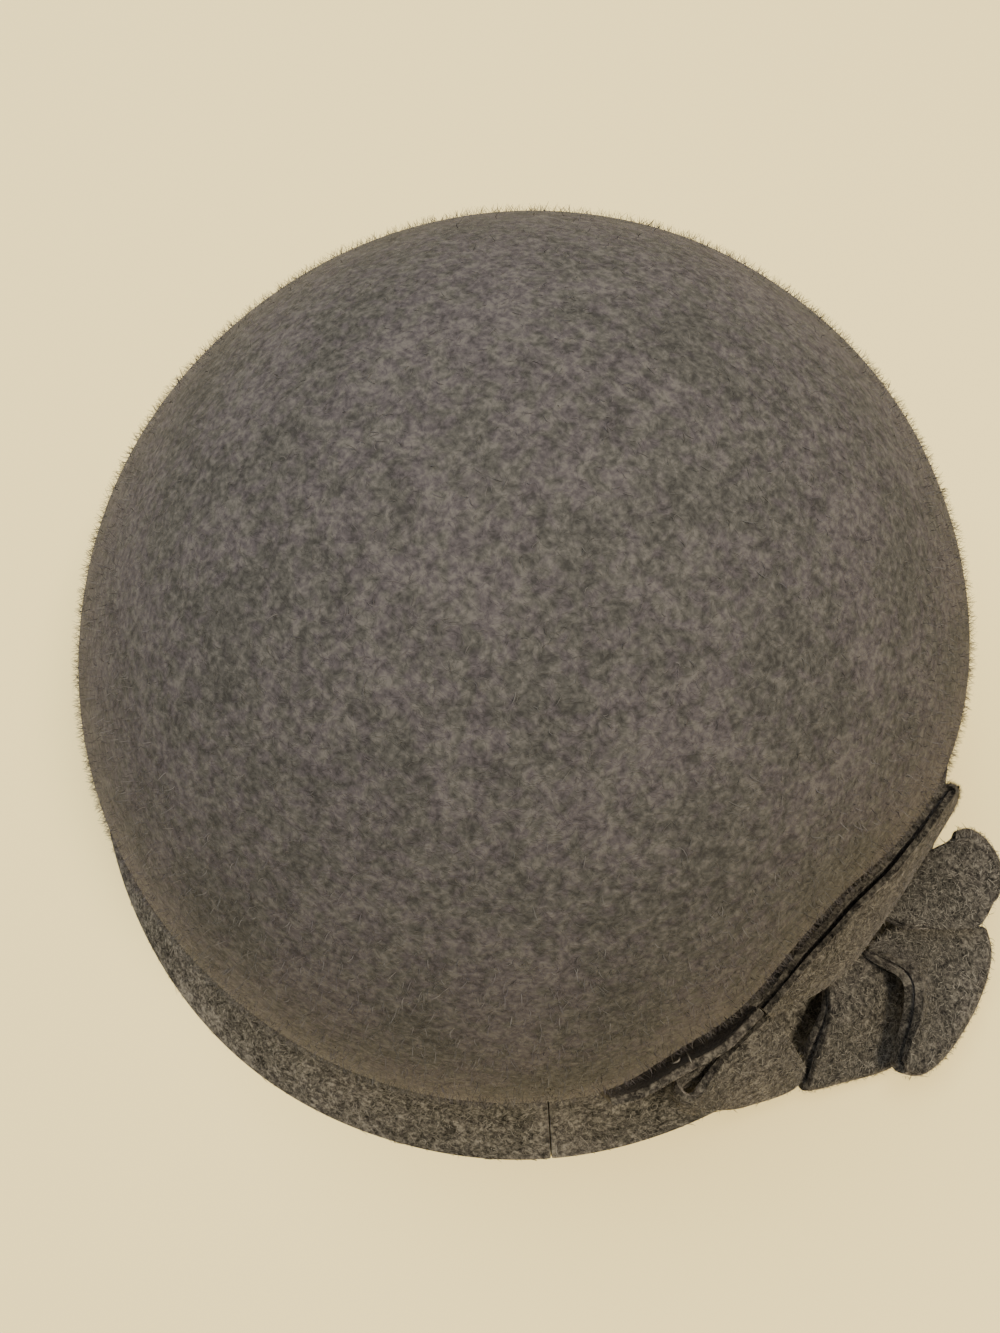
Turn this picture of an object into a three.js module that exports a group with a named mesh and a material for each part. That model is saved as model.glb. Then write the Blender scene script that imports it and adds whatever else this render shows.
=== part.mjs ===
// A wool felt cloche hat with a side bow, in millimetres.
// +Z is up, the hat rests on its brim at Z = 0, the front is towards -Y and the bow is on the +X side.

import * as THREE from 'three';

// Felt
const feltThickness = 2.2;
const clearance = 0.45;

// Crown: a round dome whose widest ring lies above the brim and draws in a little below it
const hatHeight = 134.5;
const crownWidth = 192;
const crownLength = 196;
const bulgeHeight = 36;
const crownEdgeHeight = 28;
const crownTuck = 2.2;

// The side of the crown that the bow is sewn to is pressed in, with a smaller hollow in front of it
const pressDepth = 10;
const pressMiddle = -2;
const pressHalfLength = 30;
const hollowDepth = 3.1;
const hollowMiddle = -40;
const hollowHalfLength = 11.5;
const pressHeight = 52;
const pressHalfHeight = 45;

// Brim: a flared strip whose top edge is tucked inside the crown and whose ends meet in a seam
const brimWidth = 227.5;
const brimLength = 232;
const brimLap = 8;
const brimFlare = 1.5;
const seamAngle = -41.2;
const seamGap = 0.5;

// Bow: folded felt loops that fan out from one root over the brim
const bowHalfLength = 50;
const bowOverCrownEdge = 10;
const loopThickness = 1.9;
const loopFullness = 2.8;

const crownRows = 17;
const crownSides = 60;
const brimRows = 7;
const brimSides = 90;
const stripStations = 9;
const stripColumns = 4;
const foldSteps = 4;

const feltColour = 0x655e55;

// How far the bow's side is pressed in, for a point at share of the widest ring, along Y and up Z
function pressAt(outwardShare, along, up) {
  if (outwardShare <= 0) return 0;
  const press = pressDepth * Math.exp(-(((along - pressMiddle) / pressHalfLength) ** 2));
  const hollow = hollowDepth * Math.exp(-(((along - hollowMiddle) / hollowHalfLength) ** 2));
  const upwards = Math.exp(-(((up - pressHeight) / pressHalfHeight) ** 2));
  const towardsTable = THREE.MathUtils.smoothstep(up, 0, crownEdgeHeight);
  return (press + hollow) * outwardShare ** 2 * upwards * towardsTable;
}

// Share of the crown's widest ring at a height
function crownShare(up) {
  if (up >= bulgeHeight) {
    const rise = (up - bulgeHeight) / (hatHeight - bulgeHeight);
    return Math.sqrt(Math.max(0, 1 - rise * rise));
  }
  const drop = (bulgeHeight - up) / (bulgeHeight - crownEdgeHeight);
  return 1 - (crownTuck / (crownWidth / 2)) * drop * drop;
}

// A point of the crown's felt: turn is the angle round the hat, depth the distance in from its outer face
function crownPoint(share, turn, up, depth) {
  const x = (crownWidth / 2) * share * Math.cos(turn);
  const y = (crownLength / 2) * share * Math.sin(turn);
  const thin = 1 - depth / (crownWidth / 2);
  return new THREE.Vector3(x * thin - pressAt(share * Math.cos(turn), y, up), y * thin, up);
}

// A closed solid between two grids of points: rows run one way, the points of a row the other way
function closedSheet(outer, inner) {
  const rows = outer.length;
  const columns = outer[0].length;
  const positions = [...outer.flat(), ...inner.flat()].flatMap((point) => point.toArray());
  const index = [];
  const at = (side, row, column) => side * rows * columns + row * columns + column;
  const face = (a, b, c, d) => index.push(a, b, c, a, c, d);
  for (let row = 0; row < rows - 1; row += 1) {
    for (let column = 0; column < columns - 1; column += 1) {
      face(at(0, row, column), at(0, row, column + 1), at(0, row + 1, column + 1), at(0, row + 1, column));
      face(at(1, row, column), at(1, row + 1, column), at(1, row + 1, column + 1), at(1, row, column + 1));
    }
  }
  for (let row = 0; row < rows - 1; row += 1) {
    const last = columns - 1;
    face(at(0, row, 0), at(0, row + 1, 0), at(1, row + 1, 0), at(1, row, 0));
    face(at(0, row, last), at(1, row, last), at(1, row + 1, last), at(0, row + 1, last));
  }
  for (let column = 0; column < columns - 1; column += 1) {
    const last = rows - 1;
    face(at(0, 0, column), at(1, 0, column), at(1, 0, column + 1), at(0, 0, column + 1));
    face(at(0, last, column), at(0, last, column + 1), at(1, last, column + 1), at(1, last, column));
  }
  const geometry = new THREE.BufferGeometry();
  geometry.setAttribute('position', new THREE.Float32BufferAttribute(positions, 3));
  geometry.setIndex(index);
  geometry.computeVertexNormals();
  return geometry;
}

function feltPiece(name, geometry) {
  const felt = new THREE.MeshStandardMaterial({ color: feltColour, roughness: 0.95, metalness: 0 });
  const mesh = new THREE.Mesh(geometry, felt);
  mesh.name = name;
  return mesh;
}

// The crown is turned as a round shell of unit radius, then widened, lengthened and pressed in
function makeCrown() {
  const skin = (depth) => {
    const profile = [];
    const top = hatHeight - depth;
    for (let row = 0; row <= crownRows; row += 1) {
      const angle = (row / crownRows) * (Math.PI / 2);
      const up = bulgeHeight + (top - bulgeHeight) * Math.cos(angle);
      profile.push(new THREE.Vector2(Math.sin(angle), up));
    }
    const middle = (bulgeHeight + crownEdgeHeight) / 2;
    for (const up of [middle, crownEdgeHeight]) {
      profile.push(new THREE.Vector2(crownShare(up), up));
    }
    return profile;
  };
  const outer = skin(0);
  const inner = skin(feltThickness);
  const geometry = new THREE.LatheGeometry([...inner, ...outer.reverse()], crownSides);
  const position = geometry.getAttribute('position');
  const rowCount = outer.length + inner.length;
  for (let i = 0; i < position.count; i += 1) {
    const row = i % rowCount;
    const share = Math.hypot(position.getX(i), position.getZ(i));
    const turn = Math.atan2(position.getX(i), position.getZ(i));
    const depth = row < inner.length ? feltThickness : 0;
    const point = crownPoint(share, turn, position.getY(i), depth);
    position.setXYZ(i, point.x, point.y, point.z);
  }
  return feltPiece('crown', geometry);
}

// The brim starts inside the crown's edge and flares out and down to the table
const brimInset = crownTuck + feltThickness + clearance;
const brimTopX = crownWidth / 2 - brimInset;
const brimTopY = crownLength / 2 - brimInset;

// A point of the brim's felt: turn is the angle round the hat, inside chooses its inner face
function brimPoint(turn, up, inside) {
  const below = Math.max(0, 1 - up / crownEdgeHeight);
  const flare = below ** brimFlare;
  const slope = (brimFlare * (brimWidth / 2 - brimTopX) * below ** (brimFlare - 1)) / crownEdgeHeight;
  const wall = inside ? feltThickness * Math.hypot(1, slope) : 0;
  const reachY = brimTopY + (brimLength / 2 - brimTopY) * flare;
  const x = (brimTopX + (brimWidth / 2 - brimTopX) * flare - wall) * Math.cos(turn);
  const y = (reachY - wall) * Math.sin(turn);
  return new THREE.Vector3(x - pressAt(Math.cos(turn), reachY * Math.sin(turn), up), y, up);
}

function makeBrim() {
  const gapAngle = seamGap / (brimLength / 2);
  const start = THREE.MathUtils.degToRad(seamAngle) + gapAngle / 2;
  const sweep = Math.PI * 2 - gapAngle;
  const heights = [crownEdgeHeight + brimLap];
  for (let row = 0; row < brimRows; row += 1) {
    heights.push(crownEdgeHeight * (1 - (row / (brimRows - 1)) ** 0.9));
  }
  const outer = [];
  const inner = [];
  for (let side = 0; side <= brimSides; side += 1) {
    const turn = start + (side / brimSides) * sweep;
    outer.push(heights.map((up) => brimPoint(turn, up, false)));
    inner.push(heights.map((up) => brimPoint(turn, up, true)));
  }
  return feltPiece('brim', closedSheet(outer, inner));
}

// A point of the bow: out is a share of the way from the crown's edge to above the brim's rim,
// along a share of the bow's half length towards the back, up a share of the bow's height
function bowPoint([out, along, up]) {
  const y = along * bowHalfLength;
  const edgeTurn = Math.asin(THREE.MathUtils.clamp(y / (crownLength / 2 - crownTuck), -1, 1));
  const edge = crownPoint(crownShare(crownEdgeHeight), edgeTurn, crownEdgeHeight, 0).x;
  const rim = (brimWidth / 2) * Math.cos(Math.asin(THREE.MathUtils.clamp(y / (brimLength / 2), -1, 1)));
  return new THREE.Vector3(edge + (rim - edge) * out, y, up * (crownEdgeHeight + bowOverCrownEdge));
}

// The cross sections of a strip, smoothed between the rows of its table
function stripSections(table) {
  const right = new THREE.CatmullRomCurve3(table.map((row) => bowPoint(row.right)), false, 'centripetal');
  const left = new THREE.CatmullRomCurve3(table.map((row) => bowPoint(row.left)), false, 'centripetal');
  const sections = [];
  for (let station = 0; station <= stripStations; station += 1) {
    const share = station / stripStations;
    const start = right.getPoint(share);
    const across = left.getPoint(share).sub(start);
    const run = right.getTangent(share).add(left.getTangent(share)).normalize();
    const normal = run.clone().cross(across).normalize();
    const place = share * (table.length - 1);
    const row = Math.min(Math.floor(place), table.length - 2);
    const blend = (column) => THREE.MathUtils.lerp(table[row][column], table[row + 1][column], place - row);
    sections.push({ start, across, run, normal, share, crest: blend('crest'), bulge: blend('bulge') });
  }
  return sections;
}

// One row of points across a section: lift away from the middle of the loop, turned round its fold
function sectionRow(section, lift, turn) {
  const points = [];
  for (let column = stripColumns; column >= 0; column -= 1) {
    const share = column / stripColumns;
    const middle = 4 * share * (1 - share);
    const width = section.across.length();
    const point = section.start.clone().addScaledVector(section.across, share);
    point.addScaledVector(section.normal, section.crest * width * middle + lift * Math.cos(turn));
    point.addScaledVector(section.run, section.bulge * width * Math.sqrt(middle) + lift * Math.sin(turn));
    points.push(point);
  }
  return points;
}

// A strip of felt folded back on itself: out from the root, round the fold and back under
function makeLoop(name, table) {
  const sections = stripSections(table);
  const tip = sections[sections.length - 1];
  const rootSpread = loopThickness + clearance;
  const tipSpread = loopThickness + loopFullness;
  const skin = (side) => {
    const lift = (section) => {
      const spread = THREE.MathUtils.lerp(rootSpread, tipSpread, section.share ** 2);
      return (spread + side * loopThickness) / 2;
    };
    const rows = sections.map((section) => sectionRow(section, lift(section), 0));
    for (let step = 1; step < foldSteps; step += 1) {
      rows.push(sectionRow(tip, lift(tip), (step / foldSteps) * Math.PI));
    }
    const under = sections.map((section) => sectionRow(section, lift(section), Math.PI));
    return [...rows, ...under.reverse()];
  };
  return feltPiece(name, closedSheet(skin(1), skin(-1)));
}

// A single strip of felt
function makeStrip(name, table) {
  const sections = stripSections(table);
  const skin = (side) => sections.map((section) => sectionRow(section, (side * loopThickness) / 2, 0));
  return feltPiece(name, closedSheet(skin(1), skin(-1)));
}

// Tables of the bow's strips: a row for each section from the root to the tip. Right and left are the
// section's edges as seen looking out along the strip, each as its shares out, along and up. Crest bends
// the section upward and bulge bends it outward, as shares of its width.
const backStrip = [
  { right: [0.17, -1.13, 0.62], left: [0.26, -1.12, 0.95], crest: 0, bulge: 0 },
  { right: [0.21, -0.99, 0.6], left: [0.28, -0.98, 0.97], crest: 0, bulge: 0 },
  { right: [0.22, -0.84, 0.6], left: [0.26, -0.84, 0.99], crest: 0, bulge: 0 },
  { right: [0.15, -0.62, 0.58], left: [0.25, -0.62, 1], crest: 0, bulge: 0 },
  { right: [0.13, -0.4, 0.58], left: [0.2, -0.4, 1], crest: 0, bulge: 0 },
];

const upperLoop = [
  { right: [0.26, -0.37, 0.91], left: [0.2, -0.38, 0.98], crest: 0, bulge: 0 },
  { right: [0.49, -0.08, 0.62], left: [0.17, -0.12, 0.97], crest: 0.04, bulge: 0 },
  { right: [0.5, 0.18, 0.6], left: [0.15, 0.18, 0.97], crest: 0.04, bulge: 0 },
  { right: [0.41, 0.5, 0.65], left: [0.19, 0.5, 0.97], crest: 0.04, bulge: 0 },
  { right: [0.46, 0.9, 0.84], left: [0.38, 0.9, 0.97], crest: 0, bulge: 0.1 },
];

const frontLoop = [
  { right: [0.28, -0.35, 0.77], left: [0.88, -0.42, 0.32], crest: 0, bulge: 0 },
  { right: [0.29, -0.5, 0.74], left: [0.97, -0.52, 0.27], crest: 0.04, bulge: 0 },
  { right: [0.36, -0.68, 0.7], left: [0.86, -0.72, 0.32], crest: 0.04, bulge: 0 },
  { right: [0.47, -0.83, 0.7], left: [0.64, -0.86, 0.53], crest: 0, bulge: 0.16 },
];

const lowerLoop = [
  { right: [0.55, 0, 0.34], left: [0.58, 0.2, 0.33], crest: 0, bulge: 0 },
  { right: [0.76, -0.15, 0.4], left: [1.15, 0.28, 0.19], crest: 0, bulge: 0 },
  { right: [0.92, -0.31, 0.33], left: [1.35, 0.1, 0.12], crest: 0, bulge: 0 },
  { right: [1.07, -0.41, 0.24], left: [1.45, -0.04, 0.11], crest: 0, bulge: 0.03 },
];

const sideLoop = [
  { right: [0.67, 0.21, 0.43], left: [0.705, 0.29, 0.42], crest: 0, bulge: 0 },
  { right: [1.02, 0.245, 0.54], left: [0.98, 0.47, 0.34], crest: -0.05, bulge: 0 },
  { right: [1.225, 0.152, 0.5], left: [1.38, 0.61, 0.32], crest: -0.06, bulge: 0 },
  { right: [1.415, -0.07, 0.44], left: [1.525, 0.66, 0.32], crest: 0, bulge: 0.176 },
];

const rearLoop = [
  { right: [0.8, 0.42, 0.5], left: [0.6, 0.38, 0.46], crest: 0, bulge: 0 },
  { right: [1.12, 0.53, 0.5], left: [0.55, 0.56, 0.44], crest: 0.08, bulge: 0 },
  { right: [1.4, 0.65, 0.5], left: [0.66, 0.74, 0.48], crest: 0.08, bulge: 0 },
  { right: [1.42, 0.775, 0.52], left: [0.84, 0.87, 0.56], crest: 0.04, bulge: 0.3 },
];

// The origin lies on the table under the middle of the hat's overall width and length
function centreOnTable(group) {
  const middle = new THREE.Box3().setFromObject(group).getCenter(new THREE.Vector3());
  for (const mesh of group.children) {
    mesh.geometry.translate(-middle.x, -middle.y, 0);
  }
}

const hat = new THREE.Group();
hat.add(makeCrown());
hat.add(makeBrim());
hat.add(makeStrip('back_strip', backStrip));
hat.add(makeLoop('upper_loop', upperLoop));
hat.add(makeLoop('front_loop', frontLoop));
hat.add(makeLoop('lower_loop', lowerLoop));
hat.add(makeLoop('side_loop', sideLoop));
hat.add(makeLoop('rear_loop', rearLoop));
centreOnTable(hat);

export default hat;
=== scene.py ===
import math

import bmesh
import bpy
import numpy as np
from mathutils import Matrix, Vector, noise


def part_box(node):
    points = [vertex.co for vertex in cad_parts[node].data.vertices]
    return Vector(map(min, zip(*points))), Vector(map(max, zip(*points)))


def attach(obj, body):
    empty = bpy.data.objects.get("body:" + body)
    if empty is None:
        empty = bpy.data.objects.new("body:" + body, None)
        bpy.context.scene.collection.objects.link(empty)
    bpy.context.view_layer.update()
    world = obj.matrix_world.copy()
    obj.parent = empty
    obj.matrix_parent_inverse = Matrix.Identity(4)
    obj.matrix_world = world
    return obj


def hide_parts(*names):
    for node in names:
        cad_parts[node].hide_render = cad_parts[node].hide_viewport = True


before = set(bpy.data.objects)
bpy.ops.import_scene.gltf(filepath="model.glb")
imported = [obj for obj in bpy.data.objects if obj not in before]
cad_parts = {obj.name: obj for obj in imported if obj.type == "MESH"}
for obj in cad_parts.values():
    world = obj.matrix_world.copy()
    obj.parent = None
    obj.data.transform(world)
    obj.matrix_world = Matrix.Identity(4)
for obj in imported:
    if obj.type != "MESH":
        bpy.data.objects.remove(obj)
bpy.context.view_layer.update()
mm = 0.001

# sizes of the hat's felt forms, in mm, as in the solid model
hat = {
    "height": 134.5,
    "crownWidth": 192, "crownLength": 196, "bulgeHeight": 36, "edgeHeight": 28, "tuck": 2.2,
    "felt": 2.2, "clearance": 0.45,
    "pressDepth": 10, "pressMiddle": -2, "pressHalfLength": 30,
    "hollowDepth": 3.1, "hollowMiddle": -40, "hollowHalfLength": 11.5,
    "pressHeight": 52, "pressHalfHeight": 45,
    "brimWidth": 227.5, "brimLength": 232, "brimFlare": 1.5, "brimLap": 6,
    "bowHalfLength": 50, "bowHeight": 38,
}
crownLow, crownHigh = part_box("crown")
middleX = crownLow[0] / mm + hat["crownWidth"] / 2   # the crown's middle, in mm from the origin


def smoothstep(value, low, high):
    share = np.clip((value - low) / (high - low), 0, 1)
    return share * share * (3 - 2 * share)


def pressAt(outward, along, up):
    # how far the bow's side of the crown is pressed in
    def swell(value, middle, halfWidth):
        return np.exp(-((value - hat[middle]) / hat[halfWidth]) ** 2)

    press = hat["pressDepth"] * swell(along, "pressMiddle", "pressHalfLength")
    hollow = hat["hollowDepth"] * swell(along, "hollowMiddle", "hollowHalfLength")
    upwards = swell(up, "pressHeight", "pressHalfHeight")
    return (press + hollow) * np.maximum(outward, 0) ** 2 * upwards * smoothstep(up, 0, hat["edgeHeight"])


# shaders


class Signal:
    # a node's output that can be calculated with
    def __init__(self, shader, socket):
        self.shader = shader
        self.socket = socket

    def calculate(self, operation, first, second):
        return self.shader.node("ShaderNodeMath", {"operation": operation}, {0: first, 1: second}).out()

    def __add__(self, other):
        return self.calculate("ADD", self, other)

    def __radd__(self, other):
        return self.calculate("ADD", other, self)

    def __sub__(self, other):
        return self.calculate("SUBTRACT", self, other)

    def __rsub__(self, other):
        return self.calculate("SUBTRACT", other, self)

    def __mul__(self, other):
        return self.calculate("MULTIPLY", self, other)

    def __rmul__(self, other):
        return self.calculate("MULTIPLY", other, self)


class Made:
    # a node just made, to pick an output from
    def __init__(self, shader, node):
        self.shader = shader
        self.node = node

    def out(self, name=0):
        return Signal(self.shader, self.node.outputs[name])


class Shader:
    def __init__(self, name):
        self.material = bpy.data.materials.new(name)
        self.material.use_nodes = True
        self.tree = self.material.node_tree
        self.tree.nodes.clear()

    def node(self, kind, settings, sockets):
        made = self.tree.nodes.new(kind)
        for setting, value in settings.items():
            setattr(made, setting, value)
        for name, value in sockets.items():
            if isinstance(value, Signal):
                self.tree.links.new(value.socket, made.inputs[name])
            else:
                made.inputs[name].default_value = value
        return Made(self, made)

    def scaled(self, vector, factor):
        sockets = {0: vector, 1: (factor, factor, factor)}
        return self.node("ShaderNodeVectorMath", {"operation": "MULTIPLY"}, sockets).out()

    def shifted(self, vector, other):
        return self.node("ShaderNodeVectorMath", {"operation": "ADD"}, {0: vector, 1: other}).out()

    def spread(self, value, low, high, newLow, newHigh):
        sockets = {"Value": value, "From Min": low, "From Max": high, "To Min": newLow, "To Max": newHigh}
        return self.node("ShaderNodeMapRange", {"interpolation_type": "SMOOTHSTEP"}, sockets).out()

    def blend(self, share, first, second):
        made = self.node("ShaderNodeMix", {"data_type": "RGBA"}, {0: share, 6: first, 7: second})
        return Signal(self, made.node.outputs[2])

    def noise(self, vector, size, detail=0.0, distortion=0.0, roughness=0.5):
        # size is the width of the noise's blotches in mm
        sockets = {"Vector": vector, "Scale": 1000 / size, "Detail": detail, "Roughness": roughness}
        sockets["Distortion"] = distortion
        return self.node("ShaderNodeTexNoise", {}, sockets)

    def strands(self, place, size, width):
        # thin bent lines, where a slow noise passes its middle
        value = self.noise(place, size, 1.0, 0.8).out("Fac")
        ridge = self.node("ShaderNodeMath", {"operation": "ABSOLUTE"}, {0: value - 0.5}).out()
        return self.spread(ridge, 0.0, width, 1.0, 0.0)


feltLook = {
    "gap": (0.015, 0.014, 0.013, 1), "olive": (0.053, 0.050, 0.043, 1), "plum": (0.058, 0.050, 0.050, 1),
    "straw": (0.108, 0.098, 0.085, 1), "contrast": 0.64, "fibreContrast": 0.4,
    "mottle": 1.1, "clump": 3.0, "patch": 20, "warp": 4.0, "warpReach": 1.4,
    "strand": 1.7, "strandShare": 0.0, "bump": 0.3,
    "sheen": 0.07, "sheenRoughness": 0.3,
}


def feltShader(name, look):
    shader = Shader(name)
    place = shader.node("ShaderNodeTexCoord", {}, {}).out("Object")
    warp = shader.noise(place, look["warp"], 1.0).out("Color")
    bent = shader.shifted(place, shader.scaled(warp, look["warpReach"] * mm))

    # clumps of darker and lighter wool
    mottle = shader.noise(bent, look["mottle"], 2.0, 0.1, 0.62).out("Fac")
    clump = shader.noise(bent, look["clump"], 1.0, 0.3).out("Fac")
    patch = shader.noise(place, look["patch"], 2.0, 0.3).out("Fac")
    tint = shader.noise(bent, look["clump"] * 0.8, 1.0).out("Color")
    tintShare = shader.node("ShaderNodeSeparateColor", {}, {0: tint}).out(1)

    hairs = shader.strands(bent, look["strand"], 0.05)
    gaps = shader.strands(shader.shifted(bent, (0.013, 0.029, 0.007)), look["strand"] * 1.2, 0.06)

    wool = mottle * 0.58 + clump * 0.26 + patch * 0.16
    hue = shader.spread(tintShare * 0.55 + patch * 0.45, 0.42, 0.6, 0.0, 1.0)
    colour = shader.blend(hue, look["olive"], look["plum"])
    colour = shader.blend(shader.spread(wool, 0.53, 0.34, 0.0, look["contrast"]), colour, look["gap"])
    colour = shader.blend(shader.spread(wool, 0.48, 0.66, 0.0, look["contrast"]), colour, look["straw"])
    colour = shader.blend(gaps * look["strandShare"], colour, look["gap"])
    colour = shader.blend(hairs * look["strandShare"], colour, look["straw"])

    height = wool * 0.8 + hairs * 0.2 - gaps * 0.12
    bump = shader.node("ShaderNodeBump", {}, {
        "Strength": 0.8, "Distance": look["bump"] * mm, "Height": height,
    })
    surface = shader.node("ShaderNodeBsdfPrincipled", {}, {
        "Base Color": colour, "Roughness": 0.97, "Specular IOR Level": 0.12, "Normal": bump.out(),
        "Sheen Weight": look["sheen"], "Sheen Roughness": look["sheenRoughness"],
        "Sheen Tint": (1.0, 0.89, 0.78, 1),
    })
    shader.node("ShaderNodeOutputMaterial", {}, {"Surface": surface.out()})
    return shader.material


def fibreShader(name, look):
    shader = Shader(name)
    tone = shader.node("ShaderNodeAttribute", {"attribute_name": "fibreTone"}, {}).out("Fac")
    place = shader.node("ShaderNodeTexCoord", {}, {}).out("Object")
    hue = shader.spread(shader.noise(place, look["patch"], 2.0).out("Fac"), 0.4, 0.6, 0.0, 1.0)
    colour = shader.blend(hue, look["olive"], look["plum"])
    colour = shader.blend(shader.spread(tone, 0.0, 0.35, look["fibreContrast"], 0.0), colour, look["gap"])
    colour = shader.blend(shader.spread(tone, 0.5, 1.0, 0.0, look["fibreContrast"]), colour, look["straw"])
    surface = shader.node("ShaderNodeBsdfPrincipled", {}, {
        "Base Color": colour, "Roughness": 0.85, "Specular IOR Level": 0.15,
    })
    shader.node("ShaderNodeOutputMaterial", {}, {"Surface": surface.out()})
    return shader.material


def plainShader(name, colour, roughness):
    shader = Shader(name)
    surface = shader.node("ShaderNodeBsdfPrincipled", {}, {
        "Base Color": colour, "Roughness": roughness, "Specular IOR Level": 0.1,
    })
    shader.node("ShaderNodeOutputMaterial", {}, {"Surface": surface.out()})
    return shader.material


closeFelt = {
    **feltLook,
    "gap": (0.011, 0.010, 0.008, 1), "olive": (0.057, 0.052, 0.041, 1), "plum": (0.059, 0.052, 0.044, 1),
    "straw": (0.182, 0.164, 0.131, 1), "contrast": 1.0, "fibreContrast": 1.0,
    "mottle": 1.15, "clump": 2.8, "strand": 1.4, "strandShare": 0.45, "bump": 0.3, "sheen": 0.05,
}
# the bow's felt is the brim's felt drawn darker all over: painted shade for the shade that lies on the bow
shadedFoldFelt = {
    **closeFelt,
    "gap": (0.009, 0.008, 0.007, 1), "olive": (0.043, 0.039, 0.031, 1), "plum": (0.045, 0.039, 0.033, 1),
    "straw": (0.145, 0.130, 0.103, 1), "sheen": 0.32,
}
crownFelt = feltShader("crownFelt", feltLook)
brimFelt = feltShader("brimFelt", closeFelt)
shadedBowFelt = feltShader("shadedBowFelt", shadedFoldFelt)
crownFibre = fibreShader("crownFibre", feltLook)
# the halo's fibres are drawn lighter than the crown's other fibres: painted sheen for the lit fuzz on the
# crown's rim
haloSheenFibre = fibreShader("haloSheenFibre", {**feltLook, "straw": (0.128, 0.117, 0.102, 1), "fibreContrast": 0.7})
closeFibre = fibreShader("closeFibre", closeFelt)
print("materials made")


# shared modelling helpers


def moveVertices(mesh, mover):
    # mover takes and returns an n by 3 array
    points = np.array([vert.co[:] for vert in mesh.verts])
    for vert, point in zip(mesh.verts, mover(points)):
        vert.co = point


def faceOutward(mesh):
    # an open shell's faces look away from the hat's middle
    bmesh.ops.recalc_face_normals(mesh, faces=mesh.faces)
    middle = Vector((middleX * mm, 0, 0))
    outward = 0.0
    for face in mesh.faces:
        outward += face.normal.dot(face.calc_center_median() - middle) * face.calc_area()
    if outward < 0:
        bmesh.ops.reverse_faces(mesh, faces=mesh.faces)


def addPiece(name, mesh, material, nodes=()):
    data = bpy.data.meshes.new(name)
    mesh.to_mesh(data)
    mesh.free()
    for polygon in data.polygons:
        polygon.use_smooth = True
    data.materials.append(material)
    piece = bpy.data.objects.new(name, data)
    bpy.context.scene.collection.objects.link(piece)
    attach(piece, "root")
    if nodes:
        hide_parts(*nodes)
    return piece


def giveFelt(piece, thickness, rounding, offset=0.0):
    # the wall of the felt, unless it has one, its cut edges a little rounded
    if thickness:
        wall = piece.modifiers.new("wall", "SOLIDIFY")
        wall.thickness = thickness * mm
        wall.offset = offset
    soft = piece.modifiers.new("softEdges", "BEVEL")
    soft.width = rounding * mm
    soft.segments = 2
    soft.limit_method = "ANGLE"
    soft.angle_limit = math.radians(50)
    smooth = piece.modifiers.new("smooth", "SUBSURF")
    smooth.levels = 1
    smooth.render_levels = 1


def wobble(points, size, depth, seed=0.0):
    # a smooth random offset for each point
    away = Vector((seed, seed, seed))
    return np.array([noise.noise(Vector(point) / size + away) for point in points]) * depth


def toMetres(points):
    points = np.array(points, dtype=float)
    points[:, 0] += middleX
    return points * mm


def unit(vectors):
    return vectors / np.maximum(np.linalg.norm(vectors, axis=1, keepdims=True), 1e-12)


# fibres: short curled ribbons of wool, rooted in the felt

fibreStep = {
    "taper": (0.8, 1.0, 0.85, 0.25), "rootDepth": 0.08, "firstClimb": 0.1, "lyingLift": (0.05, 0.2),
    "liftCurve": 1.5,
}


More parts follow.
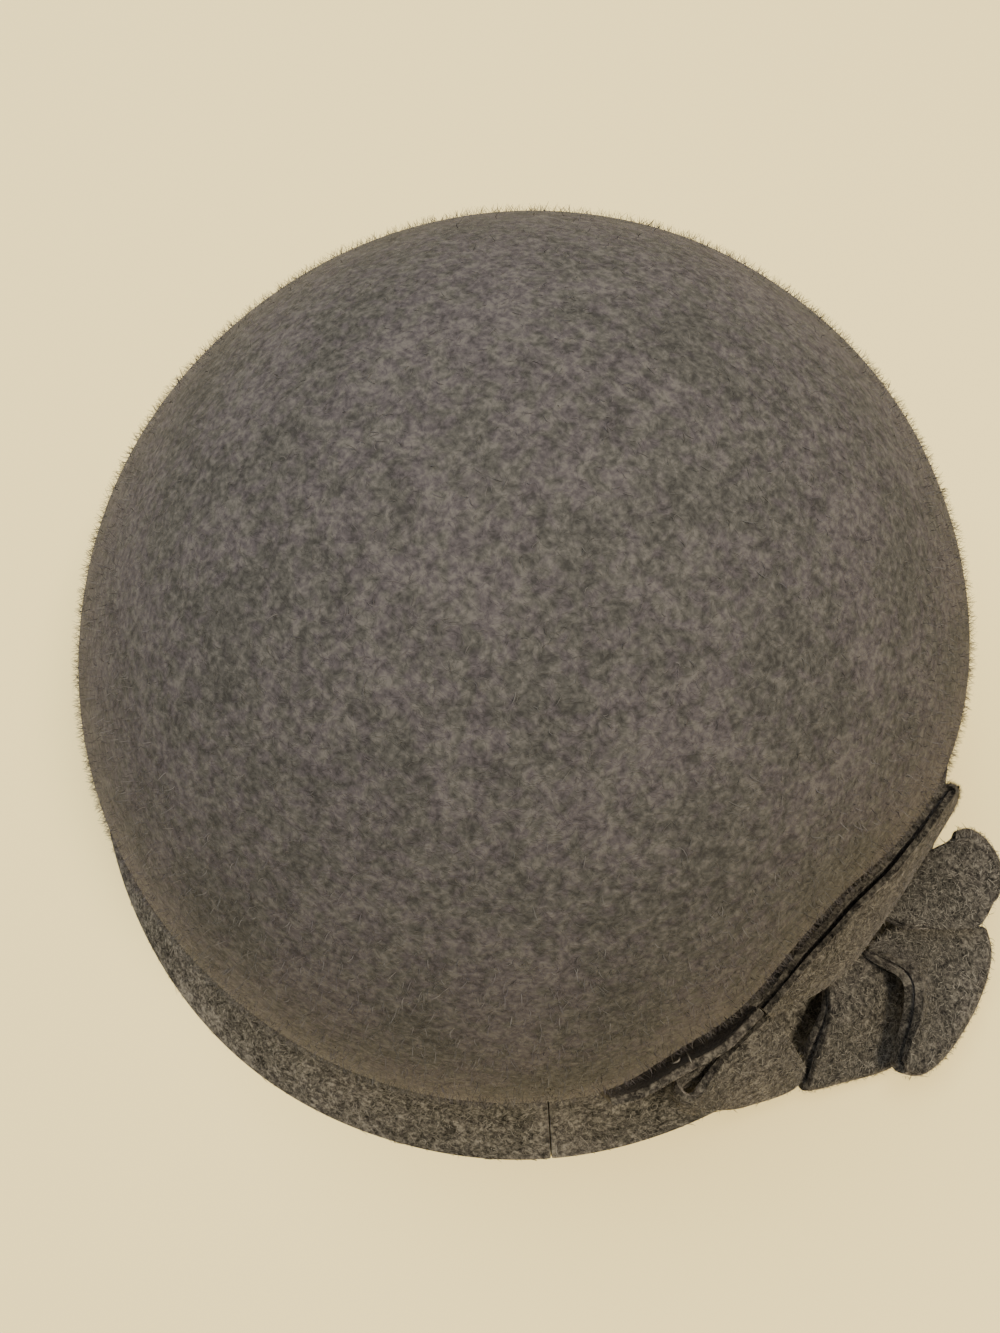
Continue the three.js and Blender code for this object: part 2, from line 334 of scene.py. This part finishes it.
def addFibres(name, look, shape, places, material, offset=0.0):
    # shape turns an n by 3 array of places into points of a felt face; places are the fibres' roots
    rng = np.random.default_rng(look["seed"])
    count = len(places)
    taper = np.array(fibreStep["taper"])
    steps = len(taper) - 1
    nudge = 0.002
    root = shape(places)
    first = unit(shape(places + (nudge, 0, 0)) - root)
    normal = unit(np.cross(first, unit(shape(places + (0, nudge, 0)) - root))) * look["side"]
    second = np.cross(normal, first)

    length = rng.uniform(*look["length"], count) * mm
    width = rng.uniform(*look["width"], count) * mm
    curl = rng.uniform(-look["curl"], look["curl"], count)
    turn = rng.uniform(0, 2 * math.pi, count)
    standing = rng.random(count) < look["standing"]
    upright, lying = rng.uniform(*look["lift"], count), rng.uniform(*fibreStep["lyingLift"], count)
    lift = np.where(standing, upright, lying) * mm
    tone = rng.random(count) ** look["toneBias"]

    # the way along each fibre, one point for each of its steps
    path = [root + normal * (offset - fibreStep["rootDepth"]) * mm]
    heading = turn.copy()
    for step in range(steps):
        run = first * np.cos(heading)[:, None] + second * np.sin(heading)[:, None]
        rise = ((step + 1) / steps) ** fibreStep["liftCurve"] - (step / steps) ** fibreStep["liftCurve"]
        climb = lift * rise + (fibreStep["firstClimb"] * mm if step == 0 else 0.0)
        path.append(path[-1] + run * (length / steps)[:, None] + normal * climb[:, None])
        heading = heading + curl / steps
    path = np.array(path)
    sideways = np.cross(first * np.cos(turn)[:, None] + second * np.sin(turn)[:, None], normal)

    columns = 2 * count - 1
    mesh = bmesh.new()
    bmesh.ops.create_grid(mesh, x_segments=columns, y_segments=steps, size=0.5)
    between = [face for face in mesh.faces if int((face.calc_center_median().x + 0.5) * columns) % 2]
    bmesh.ops.delete(mesh, geom=between, context="FACES")
    tones = []

    def layFibres(points):
        column = np.rint((points[:, 0] + 0.5) * columns).astype(int)
        step = np.rint((points[:, 1] + 0.5) * steps).astype(int)
        fibre = column // 2
        edge = np.where(column % 2 == 0, -0.5, 0.5) * taper[step] * width[fibre]
        tones.extend(tone[fibre])
        return path[step, fibre] + sideways[fibre] * edge[:, None]

    moveVertices(mesh, layFibres)
    piece = addPiece(name, mesh, material)
    attribute = piece.data.attributes.new("fibreTone", "FLOAT", "POINT")
    attribute.data.foreach_set("value", np.array(tones, dtype=np.float32))
    print(name, count, "fibres")


# crown: a sphere cut below its middle and stretched into the dome

crown = {
    "around": 160, "rows": 100, "cut": 0.16, "dents": 0.5, "dentSize": 0.42,
    "bowTurn": -0.14, "bowReach": 0.77, "bowRise": 0.16,
}
crownFuzz = {
    "seed": 11, "count": 32000, "side": 1, "length": (1.0, 2.6), "width": (0.08, 0.15), "curl": 2.6,
    "standing": 0.3, "lift": (0.5, 1.7), "toneBias": 0.9,
    "lowest": 0.9, "highest": 0.9995, "topShare": 0.22, "topRise": (1.0, 0.35),
}
crownHalo = {
    "seed": 12, "count": 28000, "side": 1, "length": (0.5, 1.6), "width": (0.06, 0.12), "curl": 3.0,
    "standing": 1.0, "lift": (0.4, 1.6), "toneBias": 0.8,
    "lowest": 0.95, "highest": 0.7, "topShare": 1.0, "topRise": (1.0, 0.35),
}


def crownShape(points):
    x, y, z = points.T
    turn = np.arctan2(y, x)
    share = np.hypot(x, y)
    above = z >= 0
    up = np.where(
        above,
        hat["bulgeHeight"] + z * (hat["height"] - hat["bulgeHeight"]),
        hat["bulgeHeight"] + z / crown["cut"] * (hat["bulgeHeight"] - hat["edgeHeight"]),
    )
    tucked = 1 - hat["tuck"] / (hat["crownWidth"] / 2) * (z / crown["cut"]) ** 2
    share = np.where(above, share, tucked)
    dents = wobble(points, crown["dentSize"], crown["dents"] * 2 / hat["crownWidth"], 3.1)
    soft = 1 + dents * smoothstep(z, -0.1, 0.3)
    reachX = hat["crownWidth"] / 2 * share * np.cos(turn) * soft
    reachY = hat["crownLength"] / 2 * share * np.sin(turn) * soft
    reachX = reachX - pressAt(share * np.cos(turn), reachY, up)
    return toMetres(np.column_stack([reachX, reachY, up]))


mesh = bmesh.new()
bmesh.ops.create_uvsphere(mesh, u_segments=crown["around"], v_segments=crown["rows"], radius=1)
bmesh.ops.bisect_plane(
    mesh, geom=mesh.verts[:] + mesh.edges[:] + mesh.faces[:],
    plane_co=(0, 0, -crown["cut"]), plane_no=(0, 0, -1), clear_outer=True,
)
moveVertices(mesh, crownShape)
faceOutward(mesh)
crownPiece = addPiece("crownShell", mesh, crownFelt, ["crown"])
giveFelt(crownPiece, hat["felt"], 0.5, -1.0)


def crownFace(places):
    # places hold the turn round the crown and the rise above its widest line
    turn, rise = places[:, 0], places[:, 1]
    flat = np.cos(rise)
    return crownShape(np.column_stack([flat * np.cos(turn), flat * np.sin(turn), np.sin(rise)]))


def crownPlaces(look):
    rng = np.random.default_rng(look["seed"])
    rise = np.arcsin(rng.uniform(-crown["cut"] * look["lowest"], look["highest"], look["count"]))
    turn = rng.uniform(0, 2 * math.pi, look["count"])
    # the top is clipped smoother than the sides
    share = look["topShare"] + (1 - look["topShare"]) * smoothstep(rise, *look["topRise"])
    kept = rng.random(look["count"]) < share
    # the felt behind the bow is pressed flat and carries no loose fibres
    besideBow = (np.cos(turn - crown["bowTurn"]) < crown["bowReach"]) | (rise > crown["bowRise"])
    return np.column_stack([turn, rise, np.zeros_like(rise)])[kept & besideBow]


addFibres("crownFuzz", crownFuzz, crownFace, crownPlaces(crownFuzz), crownFibre)
# short fibres that all stand up make the crown's rim soft; the fibres are real wool, their lighter colour
# is a painted sheen
addFibres("crownHalo", crownHalo, crownFace, crownPlaces(crownHalo), haloSheenFibre)
print("crown made")


# brim: a flat grid bent round the hat, its two ends meeting in a seam

brim = {
    "around": 360, "rows": 22, "seamAngle": -41.2, "seamGap": 0.2, "ripple": 0.5, "rippleSize": 0.5,
    "puckerDepth": 1.3, "puckerWidth": 4.5, "puckerHeight": 21, "puckerHalfHeight": 6.5, "farPucker": 0.45,
}
brimFuzz = {
    "seed": 23, "count": 15000, "side": -1, "length": (1.2, 3.2), "width": (0.11, 0.22), "curl": 3.2,
    "standing": 0.25, "lift": (0.3, 0.8), "toneBias": 0.8,
}


def brimShape(points):
    share = points[:, 0] + 0.5
    down = points[:, 1] + 0.5
    inset = hat["tuck"] + hat["felt"] + hat["clearance"]
    topX = hat["crownWidth"] / 2 - inset
    topY = hat["crownLength"] / 2 - inset
    top = hat["edgeHeight"] + hat["brimLap"]
    up = top * (1 - down)
    flare = np.clip(1 - up / hat["edgeHeight"], 0, 1) ** hat["brimFlare"]
    gap = brim["seamGap"] / (hat["brimLength"] / 2)
    turn = math.radians(brim["seamAngle"]) + gap / 2 + share * (2 * math.pi - gap)
    reachX = topX + (hat["brimWidth"] / 2 - topX) * flare
    reachY = topY + (hat["brimLength"] / 2 - topY) * flare
    around = np.column_stack([np.cos(turn), np.sin(turn), up / 90])
    ripple = wobble(around, brim["rippleSize"], brim["ripple"], 7.7) * flare
    # the felt draws in beside the seam, just under the crown
    away = np.minimum(share, 1 - share) * 2 * math.pi * hat["brimLength"] / 2
    side = np.where(share > 0.5, 1.0, brim["farPucker"])
    pucker = np.exp(-(away / brim["puckerWidth"]) ** 2)
    pucker = pucker * np.exp(-((up - brim["puckerHeight"]) / brim["puckerHalfHeight"]) ** 2)
    draw = brim["puckerDepth"] * pucker * side
    x = (reachX + ripple - draw) * np.cos(turn)
    y = (reachY + ripple - draw) * np.sin(turn)
    x = x - pressAt(np.cos(turn), reachY * np.sin(turn), up)
    return toMetres(np.column_stack([x, y, np.maximum(up, 0)]))


mesh = bmesh.new()
bmesh.ops.create_grid(mesh, x_segments=brim["around"], y_segments=brim["rows"], size=0.5)
moveVertices(mesh, brimShape)
faceOutward(mesh)
bmesh.ops.solidify(mesh, geom=mesh.faces[:], thickness=hat["felt"] * mm)
moveVertices(mesh, lambda points: np.column_stack([points[:, :2], np.maximum(points[:, 2], 0)]))
bmesh.ops.recalc_face_normals(mesh, faces=mesh.faces)
brimPiece = addPiece("brimBand", mesh, brimFelt, ["brim"])
giveFelt(brimPiece, 0, 0.25)

rng = np.random.default_rng(brimFuzz["seed"])
places = rng.uniform(-0.498, 0.498, (brimFuzz["count"], 3))
places[:, 1] = rng.uniform(-0.3, 0.5, brimFuzz["count"])
addFibres("brimFuzz", brimFuzz, brimShape, places, closeFibre)
print("brim made")


# bow: strips of felt, most of them folded back on themselves

# each row is a section from the root to the tip with its right and left edge as seen looking out along the
# strip: shares out from the crown's edge to the rim, along the bow's half length and up its height
strips = {
    "backStrip": {
        "node": "back_strip", "folded": False, "tipSpread": 0, "slide": 0, "fibres": 900, "dents": [],
        "rows": [
            {"right": (0.17, -1.13, 0.62), "left": (0.26, -1.12, 0.95), "crest": 0, "bulge": 0},
            {"right": (0.21, -0.99, 0.6), "left": (0.28, -0.98, 0.97), "crest": 0, "bulge": 0},
            {"right": (0.22, -0.84, 0.6), "left": (0.26, -0.84, 0.99), "crest": 0, "bulge": 0},
            {"right": (0.15, -0.62, 0.58), "left": (0.25, -0.62, 1), "crest": 0, "bulge": 0},
            {"right": (0.13, -0.4, 0.58), "left": (0.2, -0.4, 1), "crest": 0, "bulge": 0},
        ],
    },
    "upperLoop": {
        "node": "upper_loop", "folded": True, "tipSpread": 2.1, "slide": 1.2, "fibres": 2600, "dents": [],
        "thickness": 1.45, "rootSpread": 1.6, "belly": 1.4,
        "rows": [
            {"right": (0.26, -0.385, 0.91), "left": (0.2, -0.393, 0.98), "crest": 0, "bulge": 0},
            {"right": (0.49, -0.08, 0.62), "left": (0.17, -0.12, 0.97), "crest": 0.04, "bulge": 0},
            {"right": (0.5, 0.18, 0.6), "left": (0.15, 0.18, 0.97), "crest": 0.04, "bulge": 0},
            {"right": (0.47, 0.5, 0.61), "left": (0.19, 0.5, 0.97), "crest": 0.04, "bulge": 0},
            {"right": (0.53, 0.89, 0.78), "left": (0.38, 0.91, 0.98), "crest": 0, "bulge": 0.2},
        ],
    },
    "frontLoop": {
        "node": "front_loop", "folded": True, "tipSpread": 4.7, "slide": 0, "fibres": 1800, "dents": [],
        "rows": [
            {"right": (0.28, -0.35, 0.77), "left": (0.93, -0.38, 0.31), "crest": 0, "bulge": 0},
            {"right": (0.29, -0.5, 0.74), "left": (1.02, -0.49, 0.26), "crest": 0.04, "bulge": 0},
            {"right": (0.36, -0.68, 0.7), "left": (0.86, -0.72, 0.32), "crest": 0.04, "bulge": 0},
            {"right": (0.47, -0.83, 0.7), "left": (0.64, -0.86, 0.53), "crest": 0, "bulge": 0.16},
        ],
    },
    "lowerLoop": {
        "node": "lower_loop", "folded": True, "tipSpread": 4.7, "slide": 0, "fibres": 1800, "dents": [],
        "rows": [
            {"right": (0.55, 0, 0.34), "left": (0.58, 0.2, 0.33), "crest": 0, "bulge": 0},
            {"right": (0.76, -0.15, 0.4), "left": (1.15, 0.28, 0.19), "crest": 0, "bulge": 0},
            {"right": (0.92, -0.31, 0.33), "left": (1.35, 0.1, 0.12), "crest": 0, "bulge": 0},
            {"right": (1.07, -0.41, 0.24), "left": (1.45, -0.04, 0.11), "crest": 0, "bulge": 0.03},
        ],
    },
    "sideLoop": {
        "node": "side_loop", "folded": True, "tipSpread": 4.0, "slide": 0.8, "fibres": 2200,
        "dents": [{"along": 0.62, "across": 0.36, "depth": 1.1, "size": (0.13, 0.14)}],
        "rows": [
            {"right": (0.67, 0.21, 0.43), "left": (0.705, 0.29, 0.42), "crest": 0, "bulge": 0},
            {"right": (1.02, 0.245, 0.54), "left": (0.98, 0.485, 0.34), "crest": -0.05, "bulge": 0},
            {"right": (1.225, 0.152, 0.5), "left": (1.38, 0.635, 0.315), "crest": -0.06, "bulge": 0},
            {"right": (1.415, -0.07, 0.44), "left": (1.525, 0.685, 0.315), "crest": 0, "bulge": 0.176},
        ],
    },
    "rearLoop": {
        "node": "rear_loop", "folded": True, "tipSpread": 3.4, "slide": 0, "fibres": 1800, "dents": [],
        "rows": [
            {"right": (0.8, 0.42, 0.5), "left": (0.6, 0.38, 0.46), "crest": 0, "bulge": 0},
            {"right": (1.12, 0.53, 0.5), "left": (0.55, 0.56, 0.44), "crest": 0.08, "bulge": 0},
            {"right": (1.4, 0.65, 0.5), "left": (0.66, 0.74, 0.48), "crest": 0.08, "bulge": 0},
            {"right": (1.42, 0.775, 0.52), "left": (0.84, 0.87, 0.56), "crest": 0.04, "bulge": 0.3},
        ],
    },
}
loopFelt = {
    "thickness": 1.9, "rootSpread": 2.35, "foldShare": 0.06, "stations": 88, "columns": 22,
    "rounding": 0.4, "uneven": 0.25, "unevenSize": 9.0,
}
bowFuzz = {
    "seed": 31, "side": 1, "length": (1.0, 2.6), "width": (0.09, 0.18), "curl": 3.2,
    "standing": 0.25, "lift": (0.3, 0.7), "toneBias": 0.8,
    "foldedShare": 0.56,   # of the way round a folded strip: its upper layer and the fold
}


def bowPlace(out, along, up):
    y = along * hat["bowHalfLength"]
    halfLength = hat["crownLength"] / 2 - hat["tuck"]
    share = 1 - hat["tuck"] / (hat["crownWidth"] / 2)
    outward = share * np.sqrt(1 - (y / halfLength) ** 2)
    edge = hat["crownWidth"] / 2 * outward - pressAt(outward, y * share, hat["edgeHeight"])
    rim = hat["brimWidth"] / 2 * np.sqrt(1 - (y / (hat["brimLength"] / 2)) ** 2)
    return np.column_stack([edge + (rim - edge) * out, y, up * hat["bowHeight"]])


def throughPoints(values, share):
    # a smooth curve through the rows of a table, at shares of its length
    values = np.array(values, dtype=float)
    padded = np.vstack([2 * values[0] - values[1], values, 2 * values[-1] - values[-2]])
    place = np.clip(share, 0, 1) * (len(values) - 1)
    row = np.minimum(place.astype(int), len(values) - 2)
    t = (place - row)[:, None]
    a, b, c, d = (padded[row + step] for step in range(4))
    curve = 2 * b + (c - a) * t
    curve = curve + (2 * a - 5 * b + 4 * c - d) * t ** 2 + (3 * b - a - 3 * c + d) * t ** 3
    return curve / 2


def edgeCurve(rows, side, share):
    table = bowPlace(*np.array([row[side] for row in rows]).T)
    return throughPoints(table, share)


def stripShape(strip, way, across):
    # way runs from 0 at the upper layer's root to the fold at the tip and back to 1 at the lower root
    rows = strip["rows"]
    if strip["folded"]:
        straight = 0.5 - loopFelt["foldShare"]
        along = np.clip(np.minimum(way, 1 - way) / straight, 0, 1)
        turn = np.clip((way - straight) / (2 * loopFelt["foldShare"]), 0, 1) * math.pi
    else:
        along = np.clip(way, 0, 1)
        turn = np.zeros_like(way)
    step = 0.004
    right, left = edgeCurve(rows, "right", along), edgeCurve(rows, "left", along)
    before, after = np.clip(along - step, 0, 1), np.clip(along + step, 0, 1)
    run = unit(
        unit(edgeCurve(rows, "right", after) - edgeCurve(rows, "right", before))
        + unit(edgeCurve(rows, "left", after) - edgeCurve(rows, "left", before))
    )
    span = left - right
    normal = unit(np.cross(run, span))
    width = np.linalg.norm(span, axis=1)
    crest = throughPoints([[row["crest"]] for row in rows], along)[:, 0]
    bulge = throughPoints([[row["bulge"]] for row in rows], along)[:, 0]
    middle = np.maximum(4 * across * (1 - across), 0)
    lift = 0.0
    if strip["folded"]:
        rootSpread = strip.get("rootSpread", loopFelt["rootSpread"])
        belly = strip.get("belly", 0.0) * 4 * along * (1 - along)
        lift = (rootSpread + (strip["tipSpread"] - rootSpread) * along ** 2 + belly) / 2
    height = crest * width * middle + lift * np.cos(turn)
    for dent in strip["dents"]:
        sizeAlong, sizeAcross = dent["size"]
        offAlong = (along - dent["along"]) / sizeAlong
        offAcross = (across - dent["across"]) / sizeAcross
        # only the upper layer is dented
        height = height - dent["depth"] * np.exp(-offAlong ** 2 - offAcross ** 2) * (turn < 1.5)
    forward = bulge * width * np.sqrt(middle) + lift * np.sin(turn)
    # the lower layer lies a little further to the right
    slide = strip["slide"] * (1 - np.cos(turn)) / 2
    placed = right + span * across[:, None] - unit(span) * slide[:, None]
    placed = placed + normal * height[:, None] + run * forward[:, None]
    size, depth = loopFelt["unevenSize"], loopFelt["uneven"]
    uneven = [wobble(placed, size, depth, seed) for seed in (0.3, 1.7, 3.9)]
    return toMetres(placed + np.column_stack(uneven))


for number, (name, strip) in enumerate(strips.items()):
    mesh = bmesh.new()
    bmesh.ops.create_grid(mesh, x_segments=loopFelt["stations"], y_segments=loopFelt["columns"], size=0.5)
    moveVertices(mesh, lambda points: stripShape(strip, points[:, 0] + 0.5, points[:, 1] + 0.5))
    bmesh.ops.recalc_face_normals(mesh, faces=mesh.faces)
    thickness = strip.get("thickness", loopFelt["thickness"])
    # the bow's strips take the darker felt, a painted shade
    giveFelt(addPiece(name, mesh, shadedBowFelt, [strip["node"]]), thickness, loopFelt["rounding"])

    rng = np.random.default_rng(bowFuzz["seed"] + number)
    places = rng.uniform(0.01, 0.99, (strip["fibres"], 3))
    if strip["folded"]:
        places[:, 0] *= bowFuzz["foldedShare"]

    def stripFace(points):
        return stripShape(strip, points[:, 0], points[:, 1])

    fuzzLook = {**bowFuzz, "seed": bowFuzz["seed"] + number}
    addFibres(name + "Fuzz", fuzzLook, stripFace, places, closeFibre, thickness / 2)
print("bow made")


# stitches: ends of the sewing thread that show at the bow and at the foot of the brim's seam

stitches = {
    "bowStitch": [(86.6, -37.5, 35.4), (87.1, -37.8, 37.2), (87.7, -38.1, 38.1), (88.3, -38.4, 38.2)],
    "bowThread": [(85.8, -41.4, 33.5), (86.1, -40.9, 35.4), (86.4, -39.9, 36.2), (86.2, -39.2, 35.6)],
    "seamThread": [(83.6, -72.9, 3.6), (84.3, -73.6, 2.2), (85.2, -74.3, 1.4), (85.9, -74.5, 0.8)],
}
thread = {"width": 0.42, "stations": 14, "sides": 7}
threadCotton = plainShader("threadCotton", (0.17, 0.155, 0.13, 1), 0.8)


def threadShape(path, points):
    # a thin round cord along the path, closed to a point at both ends
    share = points[:, 0] + 0.5
    run = unit(throughPoints(path, share + 0.02) - throughPoints(path, share - 0.02))
    side = unit(np.cross(run, (0, 0, 1)))
    turn = (points[:, 1] + 0.5) * 2 * math.pi
    reach = thread["width"] / 2 * np.sqrt(np.clip(4 * share * (1 - share), 0, 1))
    ring = side * np.cos(turn)[:, None] + np.cross(side, run) * np.sin(turn)[:, None]
    return toMetres(throughPoints(path, share) + ring * reach[:, None])


for name, path in stitches.items():
    mesh = bmesh.new()
    bmesh.ops.create_grid(mesh, x_segments=thread["stations"], y_segments=thread["sides"], size=0.5)
    moveVertices(mesh, lambda points: threadShape(path, points))
    bmesh.ops.remove_doubles(mesh, verts=mesh.verts, dist=0.01 * mm)
    bmesh.ops.recalc_face_normals(mesh, faces=mesh.faces)
    addPiece(name, mesh, threadCotton)
print("stitches made")


# floor, light and camera, in metres

stage = {"floorReach": 2.5, "lampAim": (0, 0, 0.05), "daylight": (0.96, 0.97, 1.0, 1), "daylightPower": 0.4}

mesh = bmesh.new()
bmesh.ops.create_grid(mesh, x_segments=1, y_segments=1, size=stage["floorReach"])
floorData = bpy.data.meshes.new("floor")
mesh.to_mesh(floorData)
mesh.free()
floor = bpy.data.objects.new("floor", floorData)
bpy.context.scene.collection.objects.link(floor)
floorData.materials.append(plainShader("paleFloor", (0.94, 0.76, 0.34, 1), 0.9))

lamps = {
    "lamp": {"place": (0.42, 0.17, 1.25), "size": 0.36, "power": 23.5, "colour": (1.0, 0.89, 0.70)},
    "window": {"place": (-0.6, 0.0, 1.15), "size": 0.9, "power": 18.0, "colour": (0.87, 0.92, 1.0)},
}
for name, lamp in lamps.items():
    light = bpy.data.lights.new(name, "AREA")
    light.shape = "SQUARE"
    light.size = lamp["size"]
    light.energy = lamp["power"]
    light.color = lamp["colour"]
    holder = bpy.data.objects.new(name, light)
    holder.location = lamp["place"]
    aim = Vector(stage["lampAim"]) - Vector(lamp["place"])
    holder.rotation_euler = aim.to_track_quat("-Z", "Y").to_euler()
    bpy.context.scene.collection.objects.link(holder)

world = bpy.data.worlds.new("room")
world.use_nodes = True
background = world.node_tree.nodes["Background"]
background.inputs["Color"].default_value = stage["daylight"]
background.inputs["Strength"].default_value = stage["daylightPower"]
bpy.context.scene.world = world

# the camera looks down on the hat from the front and the bow's side; its place is in mm
cameraView = {
    "place": (50.04, -49.24, 264.5), "lens": 27.03,
    "heading": 49.66, "tilt": 16.75, "roll": -4.86,
}
lens = bpy.data.cameras.new("photoView")
lens.lens = cameraView["lens"]
lens.sensor_width = 36
lens.clip_start = 0.01
camera = bpy.data.objects.new("photoView", lens)
place = Vector(cameraView["place"]) + Vector((middleX, 0, 0))
turned = Matrix.Rotation(math.radians(cameraView["heading"]), 4, "Z")
turned = turned @ Matrix.Rotation(math.radians(cameraView["tilt"]), 4, "X")
turned = turned @ Matrix.Rotation(math.radians(cameraView["roll"]), 4, "Z")
camera.matrix_world = Matrix.Translation(place * mm) @ turned
bpy.context.scene.collection.objects.link(camera)
bpy.context.scene.camera = camera
print("stage made")
